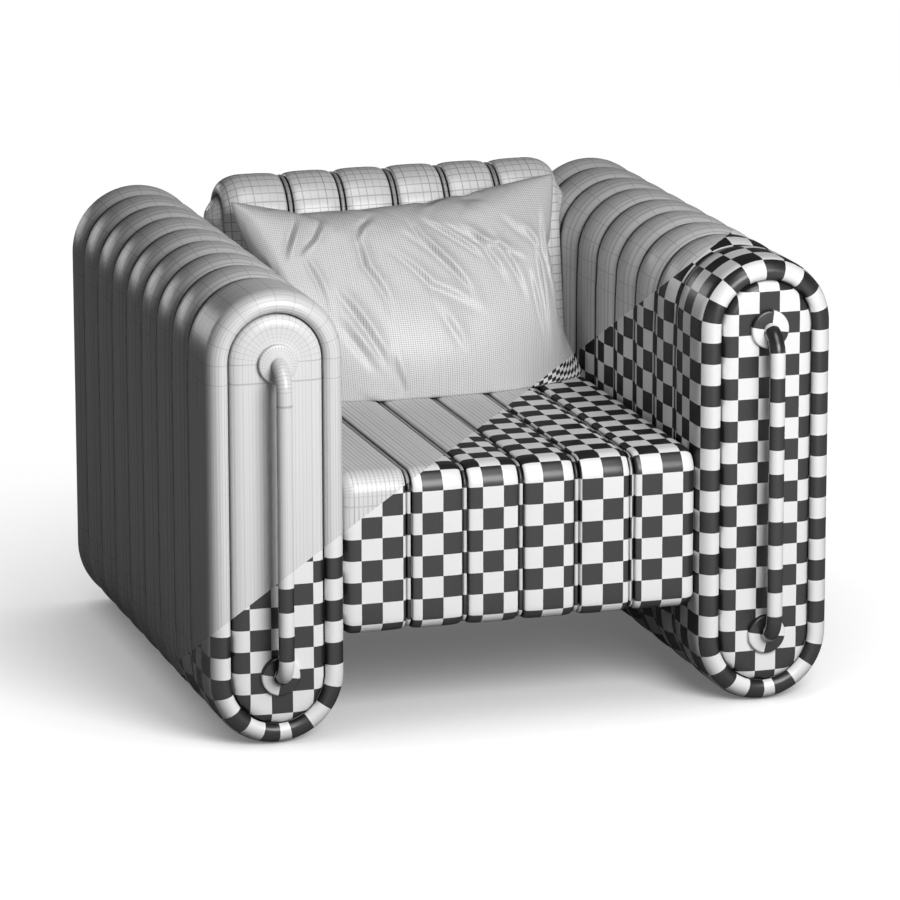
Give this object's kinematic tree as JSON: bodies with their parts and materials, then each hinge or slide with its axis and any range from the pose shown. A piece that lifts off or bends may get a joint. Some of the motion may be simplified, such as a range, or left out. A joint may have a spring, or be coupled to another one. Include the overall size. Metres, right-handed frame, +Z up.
{
  "type": "armchair",
  "caption": "Channel-upholstered armchair with upright capsule-shaped arms, a vertical grab bar on each arm front and a loose pillow.",
  "frame": {"origin": "on the floor, under the middle of the chair's box", "axes": "+X towards the left arm of a seated person, -Y the way the chair faces, +Z up"},
  "size_m": [0.99, 0.9441, 0.7292],
  "materials": {
    "arm_cloth": "matt upholstery cloth: plain pale grey with a fine woven line grid on one part, black and white check on the rest",
    "panel_cloth": "the arms' cloth over a padded panel, with its line grid in rounds and rays",
    "seat_cloth": "the arms' cloth quilted in channels, mostly black and white check",
    "back_cloth": "the arms' cloth quilted in channels, plain pale grey with its line grid",
    "pillow_cloth": "finer matt weave in a slightly darker grey, with a small check at one lower corner",
    "bar_finish": "satin enamel on steel tube, in the cloth's colours",
    "beech": "planed beech",
    "plywood": "birch plywood",
    "foam": "open-cell foam or fibre filling",
    "webbing": "black elastic webbing",
    "dust_cloth": "black non-woven dust cloth",
    "zinc_steel": "zinc-plated steel",
    "nylon": "moulded black nylon"
  },
  "bodies": {
    "chair": {"right_arm_slab_1": "arm_cloth", "right_arm_slab_2": "arm_cloth", "right_arm_slab_3": "arm_cloth", "right_arm_slab_4": "arm_cloth", "right_arm_slab_5": "arm_cloth", "right_arm_slab_6": "arm_cloth", "right_arm_slab_7": "arm_cloth", "right_arm_slab_8": "arm_cloth", "right_arm_slab_9": "arm_cloth", "right_arm_front_panel": "panel_cloth", "right_arm_rear_panel": "panel_cloth", "right_arm_front_board": "plywood", "right_arm_rear_board": "plywood", "right_arm_upper_rail": "beech", "right_arm_seat_rail": "beech", "right_arm_lower_rail": "beech", "right_arm_front_glide": "nylon", "right_arm_rear_glide": "nylon", "right_grab_bar": "bar_finish", "left_arm_slab_1": "arm_cloth", "left_arm_slab_2": "arm_cloth", "left_arm_slab_3": "arm_cloth", "left_arm_slab_4": "arm_cloth", "left_arm_slab_5": "arm_cloth", "left_arm_slab_6": "arm_cloth", "left_arm_slab_7": "arm_cloth", "left_arm_slab_8": "arm_cloth", "left_arm_slab_9": "arm_cloth", "left_arm_front_panel": "panel_cloth", "left_arm_rear_panel": "panel_cloth", "left_arm_front_board": "plywood", "left_arm_rear_board": "plywood", "left_arm_upper_rail": "beech", "left_arm_seat_rail": "beech", "left_arm_lower_rail": "beech", "left_arm_front_glide": "nylon", "left_arm_rear_glide": "nylon", "left_grab_bar": "bar_finish", "seat_quilt": "seat_cloth", "seat_foam": "foam", "seat_webbing": "webbing", "seat_dust_cover": "dust_cloth", "seat_front_rail": "beech", "seat_rear_rail": "beech", "seat_right_rail": "beech", "seat_left_rail": "beech", "seat_front_tie_rod": "zinc_steel", "seat_rear_tie_rod": "zinc_steel", "back_quilt": "back_cloth", "back_right_side_pad": "back_cloth", "back_left_side_pad": "back_cloth", "back_top_rail": "beech", "back_bottom_rail": "beech", "back_right_upright": "beech", "back_left_upright": "beech", "back_webbing": "webbing", "back_lower_tie_rod": "zinc_steel", "back_upper_tie_rod": "zinc_steel"},
    "pillow": {"pillow_cover": "pillow_cloth", "pillow_insert": "foam"}
  },
  "joints": [
    {"name": "pillow_lift", "type": "slide", "parent": "chair", "child": "pillow", "axis": [0, 0, 1], "range_m": [0, 0.45]}
  ]
}
